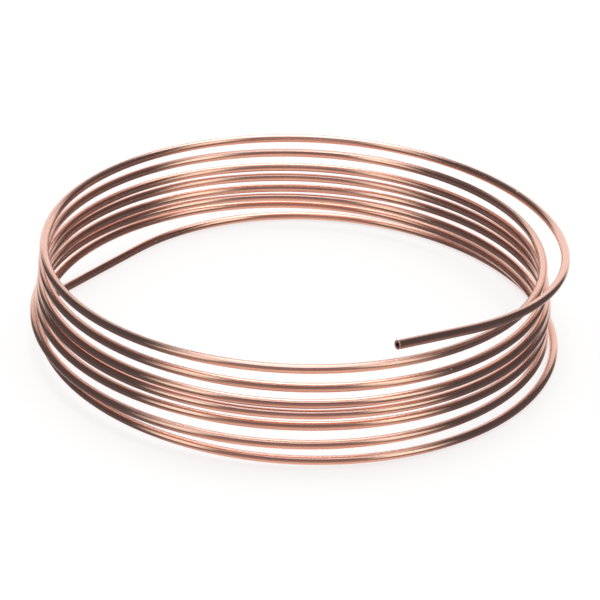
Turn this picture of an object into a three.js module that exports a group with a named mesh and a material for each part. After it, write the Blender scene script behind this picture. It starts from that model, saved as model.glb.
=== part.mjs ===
// A hand coil of soft copper tube: one length of small-bore tube wound into open turns that
// lie on a level floor. Millimetres, +Z up; the origin is the middle of the coil's box, on the floor.

import * as THREE from 'three';

// The tube.
const TUBE_DIAMETER = 3.175; // outside, 1/8 inch
const TUBE_WALL = 0.76;

// The coil, to the middle of the tube.
const MEAN_RADIUS = 91;

// The turns from the top one down, each at its right, back, left and front quarter:
// how far the tube springs outside the mean radius (inside, where it is negative) ...
const SPRING_OUT = [
  [5.5, 1.0, -2.0, 1.0],
  [-2.0, -1.5, -1.5, 0.5],
  [-1.0, -1.5, -1.0, 0.5],
  [0.0, -2.0, -0.5, 1.0],
  [0.5, -2.0, 0.0, 0.5],
  [0.0, -3.0, 2.0, 0.5],
  [0.5, -0.5, 0.0, 0.0],
  [4.5, 5.0, -16.5],
];
// ... and how much air is under it, down to the next turn, or to the floor under the last one.
const AIR_UNDER = [
  [1.0, 2.0, 2.5, 4.0],
  [4.0, 3.0, 3.0, 3.0],
  [1.5, 1.0, 0.5, 0.5],
  [1.0, 1.5, 2.0, 1.5],
  [2.0, 0.5, 1.5, 4.0],
  [2.5, 1.0, 1.0, 3.0],
  [3.0, 4.5, 3.5, 1.5],
  [0.0, 0.0, 0.0],
];

// The upper free end, which rises over the front of the first turn and ends in a straight stretch.
const FREE_END_SPRING_OUT = 5;
const FREE_END_AIR_UNDER = 11.5;
const FREE_END_ANGLE = -54; // degrees from the right-hand side, where the bend stops
const FREE_END_STRAIGHT = 28;

// The lower end, which leaves the last turn and runs straight across the floor inside the coil.
const TAIL_ANGLE = 2655;
const TAIL_STRAIGHT = 46.5;

// Facets.
const SIDES_OUTSIDE = 12;
const SIDES_BORE = 6;
const STOP_ANGLE = 9; // degrees of bend from one section to the next
const STRAIGHT_STOP = 12; // the longest step on a straight stretch

const QUARTER = 90;

/** Height of the tube's middle at every quarter of every turn, stacked up from the floor. */
function stackHeights() {
  const turns = [[FREE_END_AIR_UNDER], ...AIR_UNDER];
  const heights = turns.map((airs) => airs.map(() => 0));
  for (let quarter = 0; quarter < 4; quarter++) {
    let top = 0;
    for (let turn = AIR_UNDER.length - 1; turn >= 0; turn--) {
      const air = AIR_UNDER[turn][quarter];
      if (air === undefined) continue;
      heights[turn + 1][quarter] = top + air + TUBE_DIAMETER / 2;
      top += air + TUBE_DIAMETER;
    }
    if (quarter === 3) heights[0][0] = top + FREE_END_AIR_UNDER + TUBE_DIAMETER / 2;
  }
  return heights.flat();
}

/** The smooth run of radius and height from quarter to quarter, as (angle, radius, height). */
function quarterRun() {
  const springs = [FREE_END_SPRING_OUT, ...SPRING_OUT.flat()];
  const heights = stackHeights();
  const quarters = springs.map((spring, i) => {
    return new THREE.Vector3((i - 1) * QUARTER, MEAN_RADIUS + spring, heights[i]);
  });
  return new THREE.CatmullRomCurve3(quarters, false, 'catmullrom', 0.5);
}

/** The middle of the tube at a given angle, counted from the right-hand side of the top turn. */
function pointAtAngle(run, angle) {
  const quarterCount = run.points.length - 1;
  const spot = run.getPoint((angle / QUARTER + 1) / quarterCount);
  const turned = THREE.MathUtils.degToRad(angle);
  const height = Math.max(spot.z, TUBE_DIAMETER / 2);
  return new THREE.Vector3(spot.y * Math.cos(turned), spot.y * Math.sin(turned), height);
}

/** Stops on a straight stretch that carries the tube on past a bend's end, one way or the other. */
function straightStops(run, angle, way, length) {
  const start = pointAtAngle(run, angle);
  const direction = start.clone().sub(pointAtAngle(run, angle - way)).normalize();
  const count = Math.ceil(length / STRAIGHT_STOP);
  const stops = [];
  for (let i = 1; i <= count; i++) {
    stops.push(start.clone().addScaledVector(direction, (length * i) / count));
  }
  return stops;
}

/** The whole course of the tube: free end, turns and tail, with one section at each stop. */
function tubeCourse() {
  const run = quarterRun();
  const bends = [];
  for (let angle = FREE_END_ANGLE; angle <= TAIL_ANGLE; angle += STOP_ANGLE) {
    bends.push(pointAtAngle(run, angle));
  }
  const lead = straightStops(run, FREE_END_ANGLE, -1, FREE_END_STRAIGHT).reverse();
  const tail = straightStops(run, TAIL_ANGLE, 1, TAIL_STRAIGHT);
  const course = new THREE.CatmullRomCurve3([...lead, ...bends, ...tail], false, 'catmullrom', 0.5);
  course.getUtoTmapping = (u) => u;
  return course;
}

/** A ring of evenly spaced corners. */
function polygon(path, radius, sides) {
  for (let i = 0; i < sides; i++) {
    const turned = (2 * Math.PI * i) / sides;
    const x = radius * Math.cos(turned);
    const y = radius * Math.sin(turned);
    if (i === 0) path.moveTo(x, y);
    else path.lineTo(x, y);
  }
  path.closePath();
  return path;
}

/** The tube's section: the outside with the bore left open. */
function tubeSection() {
  const section = polygon(new THREE.Shape(), TUBE_DIAMETER / 2, SIDES_OUTSIDE);
  section.holes.push(polygon(new THREE.Path(), TUBE_DIAMETER / 2 - TUBE_WALL, SIDES_BORE));
  return section;
}

/** The wound tube, set down with the middle of its box over the origin. */
function copperTube() {
  const course = tubeCourse();
  const geometry = new THREE.ExtrudeGeometry(tubeSection(), {
    steps: course.points.length - 1,
    extrudePath: course,
  });
  const copper = new THREE.MeshStandardMaterial({ color: 0xe0a88e, roughness: 0.25, metalness: 1 });
  const tube = new THREE.Mesh(geometry, copper);
  tube.name = 'copper_tube';
  geometry.computeBoundingBox();
  const middle = geometry.boundingBox.getCenter(new THREE.Vector3());
  tube.position.set(-middle.x, -middle.y, -geometry.boundingBox.min.z);
  return tube;
}

const coil = new THREE.Group();
coil.add(copperTube());

export default coil;
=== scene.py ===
# %% [markdown]
# # A coil of small copper tube
#
# The object is one length of soft copper tube, 1/8 inch outside, wound by hand into eight open turns.
# This lesson loads the measured solid of it as a frame, and then makes the tube again with a fine
# surface: straight stock first, with its wall, its bore and its cut ends, and only then the winding.
# Lengths are in metres, and +Z is up.

import math

import bpy
from mathutils import Matrix, Vector


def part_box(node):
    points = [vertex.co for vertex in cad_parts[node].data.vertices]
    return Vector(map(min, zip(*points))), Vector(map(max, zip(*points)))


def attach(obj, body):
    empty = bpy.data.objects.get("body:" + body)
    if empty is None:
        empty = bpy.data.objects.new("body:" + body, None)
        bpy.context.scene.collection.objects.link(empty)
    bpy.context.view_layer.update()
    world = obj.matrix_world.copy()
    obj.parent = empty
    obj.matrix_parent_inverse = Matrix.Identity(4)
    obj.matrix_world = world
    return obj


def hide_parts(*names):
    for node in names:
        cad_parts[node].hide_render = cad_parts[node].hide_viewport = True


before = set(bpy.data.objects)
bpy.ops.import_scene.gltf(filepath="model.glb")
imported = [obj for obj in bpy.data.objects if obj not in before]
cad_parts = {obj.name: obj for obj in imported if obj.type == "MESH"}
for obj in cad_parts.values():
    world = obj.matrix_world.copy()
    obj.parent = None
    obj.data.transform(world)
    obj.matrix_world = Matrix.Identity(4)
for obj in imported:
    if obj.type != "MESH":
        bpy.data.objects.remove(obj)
bpy.context.view_layer.update()
print("pieces in the frame:", sorted(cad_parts))

# %% [markdown]
# ## The sizes
#
# A coil that was wound by hand is never a true helix. Each turn springs a little in or out, and lies a
# little nearer to the next one in some places than in others. So a turn has four numbers for its radius
# and four for the air under it, one at each quarter: right, back, left and front. The last turn stops
# before its front quarter. These are the same values that the solid was wound with.

# %% Tube and coil
MM = 0.001

TUBE_RADIUS = 3.175 * MM / 2
TUBE_WALL = 0.76 * MM
MEAN_RADIUS = 91 * MM

# How far the tube springs outside the mean radius, in millimetres, from the top turn down.
SPRING_OUT = [
    [5.5, 1.0, -2.0, 1.0],
    [-2.0, -1.5, -1.5, 0.5],
    [-1.0, -1.5, -1.0, 0.5],
    [0.0, -2.0, -0.5, 1.0],
    [0.5, -2.0, 0.0, 0.5],
    [0.0, -3.0, 2.0, 0.5],
    [0.5, -0.5, 0.0, 0.0],
    [4.5, 5.0, -16.5],
]
# How much air is under it, in millimetres, down to the next turn or to the floor.
AIR_UNDER = [
    [1.0, 2.0, 2.5, 4.0],
    [4.0, 3.0, 3.0, 3.0],
    [1.5, 1.0, 0.5, 0.5],
    [1.0, 1.5, 2.0, 1.5],
    [2.0, 0.5, 1.5, 4.0],
    [2.5, 1.0, 1.0, 3.0],
    [3.0, 4.5, 3.5, 1.5],
    [0.0, 0.0, 0.0],
]
# The upper free end lies over the front of the top turn, and the tail runs across the floor inside.
# Angles are in degrees from the right-hand side of the top turn. The spring and the air are in
# millimetres, as in the lists.
FREE_END_SPRING_OUT = 5
FREE_END_AIR_UNDER = 11.5
FREE_END_ANGLE = -54
FREE_END_STRAIGHT = 28 * MM
TAIL_ANGLE = 2655
TAIL_STRAIGHT = 46.5 * MM

print("turns:", len(SPRING_OUT), "tube across, in mm:", round(2 * TUBE_RADIUS / MM, 3))

# %% [markdown]
# ## The course of the tube
#
# Every turn rests on the one below it, so the heights are stacked up from the floor at each quarter.
# One turn of a screw, repeated, would be quicker to make, but it would give a spring and not a coil that
# was wound by hand. A cubic through the quarters gives the radius and the height at every angle
# instead, with no corner at a quarter, and both ends run on straight.

# %% Heights, radii and the smooth run through them
QUARTER = 90
GUIDE_STEP = 1  # degrees of bend between two points of the guide


def stacked_heights():
    """Height of the tube's middle at each quarter of each turn, from the free end down."""
    heights = [[0.0] * len(airs) for airs in AIR_UNDER]
    for quarter in range(len(AIR_UNDER[0])):
        top = 0.0
        for turn in reversed(range(len(AIR_UNDER))):
            if quarter < len(AIR_UNDER[turn]):
                top += AIR_UNDER[turn][quarter] * MM
                heights[turn][quarter] = top + TUBE_RADIUS
                top += 2 * TUBE_RADIUS
    # The front quarter is the last one, so top is now the top of the stack under the free end.
    free_end = top + FREE_END_AIR_UNDER * MM + TUBE_RADIUS
    return [free_end] + [height for turn in heights for height in turn]


def smooth(values, place):
    """Catmull-Rom cubic through evenly spaced values, at a place counted in steps from the first."""
    start = min(max(math.floor(place), 0), len(values) - 2)
    near = values[start]
    far = values[start + 1]
    before = values[start - 1] if start > 0 else 2 * near - far
    after = values[start + 2] if start + 2 < len(values) else 2 * far - near
    # The slopes where the curve leaves the near value and arrives at the far one.
    leaving = (far - before) / 2
    arriving = (after - near) / 2
    cubic = 2 * near - 2 * far + leaving + arriving
    square = 3 * far - 3 * near - 2 * leaving - arriving
    past = place - start
    return cubic * past**3 + square * past**2 + leaving * past + near


heights = stacked_heights()
springs = [FREE_END_SPRING_OUT] + [spring for turn in SPRING_OUT for spring in turn]
radii = [MEAN_RADIUS + spring * MM for spring in springs]


def point_at(angle):
    """The middle of the tube at an angle, in degrees from the right-hand side of the top turn."""
    place = angle / QUARTER + 1
    turned_by = math.radians(angle)
    radius = smooth(radii, place)
    height = max(smooth(heights, place), TUBE_RADIUS)
    return Vector((radius * math.cos(turned_by), radius * math.sin(turned_by), height))


def tube_course():
    """Points along the middle of the whole tube, from the free end to the tail's end."""
    bends = [point_at(angle) for angle in range(FREE_END_ANGLE, TAIL_ANGLE + 1, GUIDE_STEP)]
    backward = (point_at(FREE_END_ANGLE) - point_at(FREE_END_ANGLE + 1)).normalized()
    onward = (point_at(TAIL_ANGLE) - point_at(TAIL_ANGLE - 1)).normalized()
    return [bends[0] + backward * FREE_END_STRAIGHT] + bends + [bends[-1] + onward * TAIL_STRAIGHT]


course = tube_course()
tube_length = sum((b - a).length for a, b in zip(course, course[1:]))
print(f"the tube is {tube_length:.3f} m long in {len(course)} points")

# %% [markdown]
# ## Straight stock
#
# A curve with a round bevel would look like a tube at once, but it has no wall. Real tube is drawn
# straight and wound afterwards, and modelling it in that order has a use: lines that the drawing die
# left in the surface are easy to describe while the tube is straight. A short slice is made first and
# repeated along the length, so that the stock has enough sections to bend smoothly.

# %% Helpers for modelling
def deselect_all():
    if bpy.context.mode != "OBJECT":
        bpy.ops.object.mode_set(mode="OBJECT")
    bpy.ops.object.select_all(action="DESELECT")


def pick_faces(piece, wanted):
    """Selects the faces of a piece for which wanted(face) holds, and stays in edit mode."""
    bpy.ops.object.mode_set(mode="EDIT")
    bpy.ops.mesh.select_mode(type="FACE")
    bpy.ops.mesh.select_all(action="DESELECT")
    bpy.ops.object.mode_set(mode="OBJECT")
    for face in piece.data.polygons:
        face.select = wanted(face)
    bpy.ops.object.mode_set(mode="EDIT")


def apply_modifier(piece, kind, **settings):
    """Adds one modifier with its settings to the active piece and applies it at once."""
    modifier = piece.modifiers.new(kind.title(), kind)
    for name, value in settings.items():
        setattr(modifier, name, value)
    bpy.ops.object.modifier_apply(modifier=modifier.name)


# %% One slice, repeated along the length
SIDES = 28
SLICE_LENGTH = 4 * MM
MERGE_WITHIN = 0.01 * MM


def straight_shell():
    """The outside of the straight tube along +X, open at both ends."""
    count = round(tube_length / SLICE_LENGTH)
    length = tube_length / count
    deselect_all()
    bpy.ops.mesh.primitive_cylinder_add(
        vertices=SIDES, radius=TUBE_RADIUS, depth=length, end_fill_type="NOTHING",
        location=(length / 2, 0, 0), rotation=(0, math.pi / 2, 0))
    shell = bpy.context.active_object
    shell.name = "copper_tube_coil"
    bpy.ops.object.transform_apply(location=True, rotation=True, scale=True)
    apply_modifier(shell, "ARRAY", count=count, use_merge_vertices=True, merge_threshold=MERGE_WITHIN)
    return shell


tube = straight_shell()
print("slices:", len(tube.data.polygons) // SIDES, "faces:", len(tube.data.polygons))

# %% [markdown]
# ## Wall and cut ends
#
# The bore could be a second tube cut out of the first. Solidify does it in one step: it grows the wall
# inwards from the shell and closes it at both ends with a flat ring, as a saw leaves it. A small bevel
# round each ring stands for the broken edge of the cut.

# %% Wall, bore and cut ends
CUT_EDGE = 0.12 * MM
SQUARE_ON = 0.9  # a cut end's normal points along the stock by at least this much


def is_cut_end(face):
    return abs(face.normal.x) > SQUARE_ON


apply_modifier(tube, "SOLIDIFY", thickness=TUBE_WALL, offset=-1)
pick_faces(tube, is_cut_end)
bpy.ops.mesh.region_to_loop()
bpy.ops.mesh.bevel(offset=CUT_EDGE, segments=2, affect="EDGES")
bpy.ops.object.mode_set(mode="OBJECT")
print("with its wall and bore:", len(tube.data.polygons), "faces")

# %% [markdown]
# ## Where the metal was
#
# Once the tube is wound, its own axes say nothing about along and around. So the place of every point in
# the straight stock is kept on the mesh before it is bent. Drawing lines, tarnish and dents are painted
# from it later, and follow the tube round the coil.

# %% Remember where the metal was while the tube was straight
def remember_stock_place(piece):
    """Keeps the place of every point in the straight stock as an attribute of the mesh."""
    places = piece.data.attributes.new("stock_place", "FLOAT_VECTOR", "POINT")
    for vertex, place in zip(piece.data.vertices, places.data):
        place.vector = vertex.co


remember_stock_place(tube)
print("places kept:", len(tube.data.attributes["stock_place"].data))

# %% [markdown]
# The gloss of drawn metal spreads across its lines, so the shader has to know which way is along. A UV
# map tells it. The stock is unrolled like a label from a tin, with U along the tube and V once round it.
# An automatic unwrap would cut it into islands that lie every way.

# %% Unroll the stock
def unroll(piece):
    """A UV map with U along the tube and V round it. A face on the seam keeps its corners together."""
    unrolled = piece.data.uv_layers.new(name="unrolled")
    for face in piece.data.polygons:
        corners = [piece.data.vertices[i].co for i in face.vertices]
        turns = [math.atan2(corner.z, corner.y) / math.tau for corner in corners]
        for loop, corner, turn in zip(face.loop_indices, corners, turns):
            past_the_seam = round(turns[0] - turn)
            unrolled.data[loop].uv = (corner.x / tube_length, turn + past_the_seam)


unroll(tube)
print("UV maps:", [layer.name for layer in tube.data.uv_layers])

# %% [markdown]
# ## Winding
#
# The course becomes a curve, and a Curve modifier lays the stock along it. The curve is a chain of short
# straight steps rather than a few long bends, so that the tube follows the same cubic as the solid.

# %% Bend the stock along its course
def guide_curve(points):
    """A curve through the points, which a Curve modifier can lay the whole stock along."""
    curve = bpy.data.curves.new("course", "CURVE")
    curve.dimensions = "3D"
    curve.twist_mode = "Z_UP"
    curve.use_stretch = True
    curve.use_deform_bounds = True
    spline = curve.splines.new("POLY")
    spline.points.add(len(points) - 1)
    for bend, point in zip(spline.points, points):
        bend.co = (*point, 1)
    guide = bpy.data.objects.new("course", curve)
    bpy.context.collection.objects.link(guide)
    return guide


guide = guide_curve(course)
deselect_all()
bpy.context.view_layer.objects.active = tube
tube.select_set(True)
apply_modifier(tube, "CURVE", object=guide, deform_axis="POS_X")
bpy.data.objects.remove(guide)
print("wound:", len(tube.data.polygons), "faces")

# %% [markdown]
# The solid stands with the middle of its box over the origin. The coil is set down in the same place, on
# the same floor. Its mesh is moved and not its object, so that the object stays at the origin.

# %% Set the coil down
def corners_of(piece):
    """Lowest and highest corner of a piece whose place is in its mesh."""
    spots = [vertex.co for vertex in piece.data.vertices]
    return [Vector([pick(spot[axis] for spot in spots) for axis in range(3)]) for pick in (min, max)]


def set_down(piece, node):
    """Moves a piece so that its box stands in the middle of a solid's box, on the same floor."""
    low, high = corners_of(piece)
    solid_low, solid_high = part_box(node)
    offset = (solid_low + solid_high - low - high) / 2
    offset.z = solid_low.z - low.z
    piece.data.transform(Matrix.Translation(offset))
    return offset


offset = set_down(tube, "copper_tube")
print("moved by, in mm:", [round(v / MM, 3) for v in offset])
print("the coil's box:", [tuple(round(v, 5) for v in corner) for corner in corners_of(tube)])

# %% [markdown]
# ## The metal
#
# Bright drawn copper has almost no pattern of its own. What shows is fine: lines along the tube that the
# die left, patches a little browner where fingers and air have been, and small dents. Noise makes all of
# it, from the place that each point had in the straight stock. An image would need a very long strip to
# cover more than four metres of tube without a repeat.

# %% Helpers for shader nodes
def give(tree, socket, value):
    """Links a socket to another one, or sets it to a plain value."""
    if isinstance(value, bpy.types.NodeSocket):
        tree.links.new(value, socket)
    else:
        socket.default_value = value


def add_node(tree, kind, settings=None, inputs=None):
    """One node with its settings, and with its inputs linked or set."""
    node = tree.nodes.new(kind)
    for name, value in (settings or {}).items():
        setattr(node, name, value)
    for name, value in (inputs or {}).items():
        give(tree, node.inputs[name], value)
    return node


def new_group(name, inputs, outputs):
    """An empty node group with named inputs and outputs, and its two end nodes."""
    group = bpy.data.node_groups.new(name, "ShaderNodeTree")
    for label, kind in inputs:
        group.interface.new_socket(label, in_out="INPUT", socket_type=kind)
    for label, kind in outputs:
        group.interface.new_socket(label, in_out="OUTPUT", socket_type=kind)
    return group, group.nodes.new("NodeGroupInput"), group.nodes.new("NodeGroupOutput")


def smooth_step(tree, value, low, high, to_low=0.0, to_high=1.0):
    """Eases from one result to another while the value goes from low to high."""
    eased = add_node(
        tree, "ShaderNodeMapRange", {"interpolation_type": "SMOOTHSTEP"},
        {"Value": value, "From Min": low, "From Max": high, "To Min": to_low, "To Max": to_high})
    return eased.outputs["Result"]


def arithmetic(tree, operation, first, second):
    """Two values added, multiplied or otherwise joined by a Math node."""
    return add_node(tree, "ShaderNodeMath", {"operation": operation}, {0: first, 1: second}).outputs[0]


def stretched_noise(tree, place, scale, detail, roughness=0.5):
    """Noise over the stock, with its own scale along the tube and across it."""
    stretched = add_node(tree, "ShaderNodeMapping", {}, {"Vector": place, "Scale": scale})
    noise = add_node(
        tree, "ShaderNodeTexNoise", {"noise_dimensions": "3D"},
        {"Vector": stretched.outputs["Vector"], "Scale": 1.0, "Detail": detail, "Roughness": roughness})
    return noise.outputs["Fac"]


# %% [markdown]
# ### Drawing lines
#
# The die scores the tube along its whole length. Noise that changes thousands of times in a metre across
# the tube, and hardly at all along it, gives such lines. Fine ones lie on top of broader ones, and the
# broad ones also make streaks that are a little smoother or rougher.

# %% Lines left by the drawing die
# How often the noise changes in a metre of stock, along the tube and both ways across it.
FINE_LINES = (1, 4500, 4500)
BROAD_LINES = (1, 2200, 2200)
FINE_SHARE = 0.2
STREAK_STARTS = 0.35
STREAK_IS_FULL = 0.65


def drawing_lines_group():
    """The height of the lines, and a mask of the broad streaks."""
    group, start, end = new_group(
        "drawing_lines",
        [("Place", "NodeSocketVector")],
        [("Height", "NodeSocketFloat"), ("Streak", "NodeSocketFloat")])
    fine = stretched_noise(group, start.outputs["Place"], FINE_LINES, detail=2)
    broad = stretched_noise(group, start.outputs["Place"], BROAD_LINES, detail=1)
    height = arithmetic(group, "ADD", arithmetic(group, "MULTIPLY", fine, FINE_SHARE), broad)
    give(group, end.inputs["Height"], height)
    give(group, end.inputs["Streak"], smooth_step(group, broad, STREAK_STARTS, STREAK_IS_FULL))
    return group


drawing_lines = drawing_lines_group()
print("made the group", drawing_lines.name)

# %% [markdown]
# ### Dents
#
# Soft copper picks up small dents wherever it knocks against something. A Voronoi texture scatters
# points at an even spacing on average, and each dent is a small round hollow about such a point. They
# are far too shallow to change the outline, so they are a bump and not geometry.

# %% Small dents
DENT_SPACING = 6 * MM
DENT_REACH = 0.3 * MM
DENT_DEPTH = 0.08 * MM


def dents_group():
    """A height that is 1 on sound metal and falls to 0 in the middle of a dent."""
    group, start, end = new_group(
        "dents",
        [("Place", "NodeSocketVector"), ("Spacing", "NodeSocketFloat"), ("Reach", "NodeSocketFloat")],
        [("Height", "NodeSocketFloat")])
    per_metre = arithmetic(group, "DIVIDE", 1.0, start.outputs["Spacing"])
    spots = add_node(
        group, "ShaderNodeTexVoronoi", {"feature": "F1"},
        {"Vector": start.outputs["Place"], "Scale": per_metre})
    away = arithmetic(group, "MULTIPLY", spots.outputs["Distance"], start.outputs["Spacing"])
    share = arithmetic(group, "DIVIDE", away, start.outputs["Reach"])
    give(group, end.inputs["Height"], smooth_step(group, share, 0, 1))
    return group


dents = dents_group()
print("made the group", dents.name)

# %% [markdown]
# ### Browned patches
#
# Air and fingers brown the copper in soft clouds, longer along the tube than across it. The group
# mixes a finish's clean and browned colours by a cloudy noise, so that each finish can brown in its own
# colour.

# %% Browned patches
# How often the clouds change in a metre of stock, along the tube and both ways across it.
CLOUDS = (60, 260, 260)
CLOUD_ROUGHNESS = 0.6
CLOUD_STARTS = 0.42
CLOUD_IS_FULL = 0.68
# A Mix node has several sockets of the same name, so its colour ones are found by their places.
MIX_SHARE = 0
MIX_FIRST = 6
MIX_SECOND = 7
MIX_RESULT = 2


def tarnish_group():
    """A finish's clean colour, browned in soft patches by at most the given amount."""
    group, start, end = new_group(
        "tarnish",
        [("Place", "NodeSocketVector"), ("Clean", "NodeSocketColor"), ("Browned", "NodeSocketColor"),
         ("Amount", "NodeSocketFloat")],
        [("Colour", "NodeSocketColor")])
    cloud = stretched_noise(
        group, start.outputs["Place"], CLOUDS, detail=4, roughness=CLOUD_ROUGHNESS)
    patch = smooth_step(group, cloud, CLOUD_STARTS, CLOUD_IS_FULL)
    share = arithmetic(group, "MULTIPLY", patch, start.outputs["Amount"])
    mixed = add_node(
        group, "ShaderNodeMix", {"data_type": "RGBA"},
        {MIX_SHARE: share, MIX_FIRST: start.outputs["Clean"], MIX_SECOND: start.outputs["Browned"]})
    give(group, end.inputs["Colour"], mixed.outputs[MIX_RESULT])
    return group


tarnish = tarnish_group()
print("made the group", tarnish.name)

# %% [markdown]
# ### Copper, three ways
#
# The outside is bright, with deep drawing lines and a gloss that spreads across them. The saw leaves its
# cuts pale and dull, with a gloss that spreads evenly. The bore was never polished and has browned. All
# three are the same metal, so one function makes them, each from its own colours and numbers.

# %% Copper, as drawn, as sawn and inside the bore
# A finish's roughness is multiplied by these, from its smoothest streak to its roughest.
SMOOTHEST_STREAK = 0.85
ROUGHEST_STREAK = 1.2
ACROSS_THE_LINES = 0.25  # of a turn, from along the tube


def bump(tree, height, depth, **more):
    """The normal of a surface that is this deep between heights 0 and 1."""
    inputs = {"Height": height, "Strength": 1.0, "Distance": depth, **more}
    return add_node(tree, "ShaderNodeBump", {}, inputs).outputs["Normal"]


def copper(name, clean, browned, amount, roughness, line_depth, brushed):
    """A copper finish made of its clean and browned colours and the depth of its drawing lines."""
    material = bpy.data.materials.new(name)
    material.use_nodes = True
    tree = material.node_tree
    shader = tree.nodes["Principled BSDF"]
    place = add_node(tree, "ShaderNodeAttribute", {"attribute_name": "stock_place"}).outputs["Vector"]
    lines = add_node(tree, "ShaderNodeGroup", {"node_tree": drawing_lines}, {"Place": place})
    patches = add_node(
        tree, "ShaderNodeGroup", {"node_tree": tarnish},
        {"Place": place, "Clean": clean, "Browned": browned, "Amount": amount})
    spots = add_node(
        tree, "ShaderNodeGroup", {"node_tree": dents},
        {"Place": place, "Spacing": DENT_SPACING, "Reach": DENT_REACH})
    rough = smooth_step(
        tree, lines.outputs["Streak"], 0, 1, roughness * SMOOTHEST_STREAK, roughness * ROUGHEST_STREAK)
    lined = bump(tree, lines.outputs["Height"], line_depth)
    dented = bump(tree, spots.outputs["Height"], DENT_DEPTH, Normal=lined)
    along = add_node(tree, "ShaderNodeTangent", {"direction_type": "UV_MAP", "uv_map": "unrolled"})
    surface = {
        "Base Color": patches.outputs["Colour"], "Metallic": 1.0, "Roughness": rough,
        "Normal": dented, "Tangent": along.outputs["Tangent"], "Anisotropic": brushed,
        "Anisotropic Rotation": ACROSS_THE_LINES}
    for socket, value in surface.items():
        give(tree, shader.inputs[socket], value)
    return material


finishes = [
    copper("drawn_copper", clean=(0.955, 0.655, 0.55, 1), browned=(0.86, 0.52, 0.4, 1),
           amount=0.4, roughness=0.17, line_depth=0.12 * MM, brushed=0.8),
    copper("sawn_copper", clean=(0.98, 0.72, 0.62, 1), browned=(0.9, 0.58, 0.46, 1),
           amount=0.3, roughness=0.5, line_depth=0.01 * MM, brushed=0.0),
    copper("bore_copper", clean=(0.62, 0.36, 0.26, 1), browned=(0.4, 0.22, 0.16, 1),
           amount=0.8, roughness=0.45, line_depth=0.01 * MM, brushed=0.8),
]
DRAWN, SAWN, BORE = range(len(finishes))
print("finishes:", [finish.name for finish in finishes])

# %% [markdown]
# Each face gets the finish of its part of the tube, by its place in the straight stock. The rings and
# the broken edges at the cuts are the only faces that are very short along it. Of the others, those
# inside the middle of the wall are the bore. Smoothing stops at the cuts, which stay crisp.

# %% Put each finish on its faces
SMOOTH_BELOW = math.radians(20)


def dress_tube(piece):
    """Gives the outside, the cuts and the bore their finishes, and smooths the round faces."""
    for finish in finishes:
        piece.data.materials.append(finish)
    places = [Vector(place.vector) for place in piece.data.attributes["stock_place"].data]
    for face in piece.data.polygons:
        corners = [places[i] for i in face.vertices]
        length = max(corner.x for corner in corners) - min(corner.x for corner in corners)
        radius = sum(math.hypot(corner.y, corner.z) for corner in corners) / len(corners)
        if length < CUT_EDGE:
            face.material_index = SAWN
        elif radius < TUBE_RADIUS - TUBE_WALL / 2:
            face.material_index = BORE
        else:
            face.material_index = DRAWN
    bpy.ops.object.shade_smooth_by_angle(angle=SMOOTH_BELOW)


dress_tube(tube)
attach(tube, "root")
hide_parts("copper_tube")
for index, finish in enumerate(finishes):
    dressed = sum(face.material_index == index for face in tube.data.polygons)
    print(finish.name, "is on", dressed, "faces")

# %% [markdown]
# ## The studio
#
# Bright metal shows the room more than itself. This coil lies under a round soft light with a small
# bright one behind it. A tall soft strip stands on each side of the camera, a pale wall behind the coil
# and a pale table under it, and the room to the sides is dim. All this could be built of panels, but
# only reflections need to see it, so it is painted on the world by direction. The camera sees plain
# white instead, and whatever scatters light gets one even level.

# %% Directions
def raised(degrees):
    """Height of a direction that points this far above the horizon."""
    return math.sin(math.radians(degrees))


def turned(degrees):
    """How much of a direction still points one way, when it is turned this far from it."""
    return math.cos(math.radians(degrees))


def leaned(back, right=0):
    """A direction that leans back, and to the right, from straight up."""
    return Vector((raised(right), turned(right) * raised(back), turned(right) * turned(back)))


print("30 degrees back from straight up:", tuple(round(v, 3) for v in leaned(30)))

# %% [markdown]
# A light is a colour and the directions that it fills. The colour is red, green and blue, where 1 is
# white, and each light is slightly warm or cool. Every edge is soft, and is given as two angles in
# degrees: where the light is not seen yet, and where it is seen in full. Where something only gets
# dimmer, the two angles are where that starts and where it stops.

# %% The lights
# Round ones: colour, direction of the middle, and the edge's angles from there. The table's direction
# is turned over, so that it points down, to the front and slightly right.
ROUND_LIGHTS = {
    "overhead": ((1.27, 1.27, 1.33), leaned(0), (34, 17)),
    "back light": ((4.1, 3.7, 3.6), leaned(30, right=2), (16, 9)),
    "table": ((0.8, 0.58, 0.49), -leaned(28, right=-4), (54, 27)),
}
# The strips on both sides of the camera. The angles of their sides are counted from the front, which
# is turned a little to the right, and those of the foot and the head from the horizon.
FRONT_TURNED_RIGHT = 2
STRIP = (1.42, 1.31, 1.17)
STRIP_OUTER_SIDE = (71, 53)
STRIP_INNER_SIDE = (42, 26)
STRIP_FOOT = (-7, 23)
STRIP_HEAD = (66, 46)
# The strip on the right is the brighter one. The share changes from this far left to this far right,
# where 1 is straight to the side.
LEFT_STRIP_SHARE = 0.92
RIGHT_STRIP_SHARE = 1.06
SHARE_CHANGES_WITHIN = 0.6
# The dim front between the strips, where the camera stands.
FRONT = (0.37, 0.26, 0.255)
FRONT_GETS_DIMMER = (-20, 40)
FRONT_TOP_SHARE = 0.53
# The wall behind. The angles of its sides are counted from straight back.
WALL = (0.96, 0.87, 0.85)
WALL_SIDE = (44, 30)
WALL_GETS_DIMMER = (27, 34)
WALL_TOP_SHARE = 0.2
# The room around all of it, which gets a little light from the table at its foot.
ROOM = (0.078, 0.069, 0.073)
ROOM_GETS_DIMMER = (-40, 15)
ROOM_FOOT_SHARE = 1.7

print("round lights:", sorted(ROUND_LIGHTS))

# %% [markdown]
# The painting works with shares. Each edge is a share from 0 to 1, the edges of one light are
# multiplied, and the product scales its colour. Where two lights meet, the brighter one is seen.

# %% Helpers for painting lights
def vector_maths(tree, operation, *inputs):
    return add_node(
        tree, "ShaderNodeVectorMath", {"operation": operation}, dict(enumerate(inputs))).outputs


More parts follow.
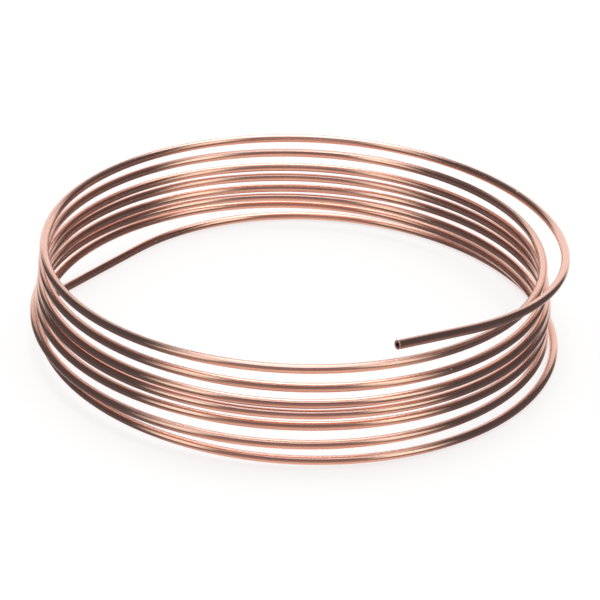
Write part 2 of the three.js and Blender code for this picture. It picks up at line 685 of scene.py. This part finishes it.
def edge(tree, value, measure, angles, first=0.0, last=1.0):
    """Eases from the first share to the last between two angles that raised or turned measures."""
    start, stop = angles
    return smooth_step(tree, value, measure(start), measure(stop), first, last)


def product(tree, first, *others):
    for other in others:
        first = arithmetic(tree, "MULTIPLY", first, other)
    return first


def shining(tree, colour, share):
    """A light's colour, times the share of it that a direction sees."""
    scaled = add_node(tree, "ShaderNodeVectorMath", {"operation": "SCALE"}, {0: colour, "Scale": share})
    return scaled.outputs["Vector"]


def round_light(tree, look, colour, towards, angles):
    """A round soft light in one direction."""
    near = vector_maths(tree, "DOT_PRODUCT", look, towards)["Value"]
    return shining(tree, colour, edge(tree, near, turned, angles))


# %% Paint what reflections see
def studio_light(tree):
    """The light that a reflection sees in the direction that it looks."""
    look = add_node(tree, "ShaderNodeTexCoord").outputs["Generated"]
    axes = add_node(tree, "ShaderNodeSeparateXYZ", {}, {"Vector": look}).outputs
    right = axes["X"]
    height = axes["Z"]
    flat = vector_maths(tree, "MULTIPLY", look, (1, 1, 0))["Vector"]
    level = vector_maths(tree, "NORMALIZE", flat)["Vector"]
    back = vector_maths(tree, "DOT_PRODUCT", level, (0, 1, 0))["Value"]
    to_the_front = (raised(FRONT_TURNED_RIGHT), -turned(FRONT_TURNED_RIGHT), 0)
    front = vector_maths(tree, "DOT_PRODUCT", level, to_the_front)["Value"]

    inside_strips = edge(tree, front, turned, STRIP_INNER_SIDE)
    with_strips = edge(tree, front, turned, STRIP_OUTER_SIDE)
    strips = product(
        tree, arithmetic(tree, "SUBTRACT", with_strips, inside_strips),
        edge(tree, height, raised, STRIP_FOOT), edge(tree, height, raised, STRIP_HEAD),
        smooth_step(tree, right, -SHARE_CHANGES_WITHIN, SHARE_CHANGES_WITHIN,
                    LEFT_STRIP_SHARE, RIGHT_STRIP_SHARE))
    between_strips = product(
        tree, inside_strips, edge(tree, height, raised, FRONT_GETS_DIMMER, 1.0, FRONT_TOP_SHARE))
    wall = product(
        tree, edge(tree, back, turned, WALL_SIDE),
        edge(tree, height, raised, WALL_GETS_DIMMER, 1.0, WALL_TOP_SHARE))
    room = edge(tree, height, raised, ROOM_GETS_DIMMER, ROOM_FOOT_SHARE, 1.0)

    lights = [round_light(tree, look, *light) for light in ROUND_LIGHTS.values()]
    for colour, share in [(STRIP, strips), (WALL, wall), (FRONT, between_strips)]:
        lights.append(shining(tree, colour, share))
    seen = shining(tree, ROOM, room)
    for light in lights:
        seen = vector_maths(tree, "MAXIMUM", light, seen)["Vector"]
    return seen


# %% [markdown]
# The world now needs three faces. Reflections and anything seen through glass get the painted studio,
# the camera gets plain white, and all other light is one even grey that brings out each colour about as
# it is written.

# %% World
EVEN_LEVEL = 0.7
WHITE = (1, 1, 1, 1)


def background(tree, colour, strength):
    node = add_node(tree, "ShaderNodeBackground", {}, {"Color": colour, "Strength": strength})
    return node.outputs["Background"]


def mix_shaders(tree, share, first, second):
    """The second shader by its share, and the first for the rest."""
    return add_node(tree, "ShaderNodeMixShader", {}, {0: share, 1: first, 2: second}).outputs["Shader"]


def studio_world():
    world = bpy.data.worlds.new("studio")
    world.use_nodes = True
    tree = world.node_tree
    tree.nodes.clear()
    ray = add_node(tree, "ShaderNodeLightPath").outputs
    mirrored = arithmetic(tree, "MAXIMUM", ray["Is Glossy Ray"], ray["Is Transmission Ray"])
    even = background(tree, WHITE, EVEN_LEVEL)
    lit = mix_shaders(tree, mirrored, even, background(tree, studio_light(tree), 1.0))
    seen = mix_shaders(tree, ray["Is Camera Ray"], lit, background(tree, WHITE, 1.0))
    add_node(tree, "ShaderNodeOutputWorld", {}, {"Surface": seen})
    bpy.context.scene.world = world
    return world


world = studio_world()
print("nodes in the world:", len(world.node_tree.nodes))

# %% [markdown]
# ## Floor and lamp
#
# The floor is pale and keeps the coil's shadow. It scatters the light that falls on it, and a little
# glow that only the camera sees lifts it to white where nothing shades it. Reflections look past it,
# because the table is in the studio already.

# %% Floor
FLOOR_ACROSS = 6
FLOOR_PALE = 0.4
FLOOR_GLOW = 0.69
FLOOR_BOUNCE = 0.8


def matt(tree, level):
    """A dull grey that scatters this share of the light."""
    grey = (level, level, level, 1)
    return add_node(tree, "ShaderNodeBsdfDiffuse", {}, {"Color": grey}).outputs["BSDF"]


def floor_material():
    """Pale and glowing to the camera, and plain pale to all other rays."""
    material = bpy.data.materials.new("pale_floor")
    material.use_nodes = True
    tree = material.node_tree
    tree.nodes.clear()
    ray = add_node(tree, "ShaderNodeLightPath").outputs
    glow = add_node(tree, "ShaderNodeEmission", {}, {"Color": WHITE, "Strength": FLOOR_GLOW})
    lifted = add_node(
        tree, "ShaderNodeAddShader", {}, {0: matt(tree, FLOOR_PALE), 1: glow.outputs["Emission"]})
    seen = mix_shaders(tree, ray["Is Camera Ray"], matt(tree, FLOOR_BOUNCE), lifted.outputs["Shader"])
    add_node(tree, "ShaderNodeOutputMaterial", {}, {"Surface": seen})
    return material


def pale_floor():
    deselect_all()
    bpy.ops.mesh.primitive_plane_add(size=FLOOR_ACROSS)
    floor = bpy.context.active_object
    floor.name = "floor"
    floor.visible_glossy = False
    floor.visible_transmission = False
    floor.data.materials.append(floor_material())
    return floor


floor = pale_floor()
print("the floor is", FLOOR_ACROSS, "m across, in", floor.data.materials[0].name)

# %% [markdown]
# Even light alone leaves hardly any shadow. A round soft lamp overhead adds a faint one. It hangs where
# the studio's overhead light is, and reflections see only the painted one.

# %% Lamp
LAMP_PLACE = (0, 0.1, 1.2)
LAMP_ACROSS = 0.9
LAMP_WATTS = 3.5


def overhead_lamp():
    bpy.ops.object.light_add(type="AREA", location=LAMP_PLACE)
    lamp = bpy.context.active_object
    lamp.name = "overhead"
    lamp.data.shape = "DISK"
    lamp.data.size = LAMP_ACROSS
    lamp.data.energy = LAMP_WATTS
    lamp.visible_glossy = False
    return lamp


lamp = overhead_lamp()
print("the lamp hangs at", tuple(round(v, 2) for v in lamp.location))

# %% [markdown]
# ## The camera
#
# A long lens from a little above keeps the turns nearly the same size front and back. The camera is
# placed by the spot that it looks at, its distance and its height in degrees, and is rolled slightly.

# %% Camera
CAMERA_TARGET = Vector((0.98, -0.95, 14.18)) * MM
CAMERA_DISTANCE = 817.9 * MM
CAMERA_ELEVATION = math.radians(28.05)
CAMERA_ROLL = math.radians(1.92)
# The lens and the square that it fills, in millimetres.
FOCAL_LENGTH = 135.3
SENSOR_WIDTH = 36
# What lies nearer or farther than this is not seen.
NEAREST = 0.01
FARTHEST = 20


def long_lens_camera():
    data = bpy.data.cameras.new("camera")
    data.sensor_width = SENSOR_WIDTH
    data.lens = FOCAL_LENGTH
    data.clip_start = NEAREST
    data.clip_end = FARTHEST
    camera = bpy.data.objects.new("camera", data)
    bpy.context.collection.objects.link(camera)
    back = Vector((0, -math.cos(CAMERA_ELEVATION), math.sin(CAMERA_ELEVATION)))
    camera.location = CAMERA_TARGET + back * CAMERA_DISTANCE
    level = back.to_track_quat("Z", "Y").to_matrix()
    camera.rotation_euler = (level @ Matrix.Rotation(CAMERA_ROLL, 3, "Z")).to_euler()
    bpy.context.scene.camera = camera
    return camera


camera = long_lens_camera()
bpy.context.scene.view_settings.view_transform = "Standard"
print("the camera stands at", tuple(round(v, 3) for v in camera.location))

# %% [markdown]
# ## Bringing the scene up to date
#
# The view layer is updated once more, after the last piece has been placed.

# %% Update the view layer
bpy.context.view_layer.update()
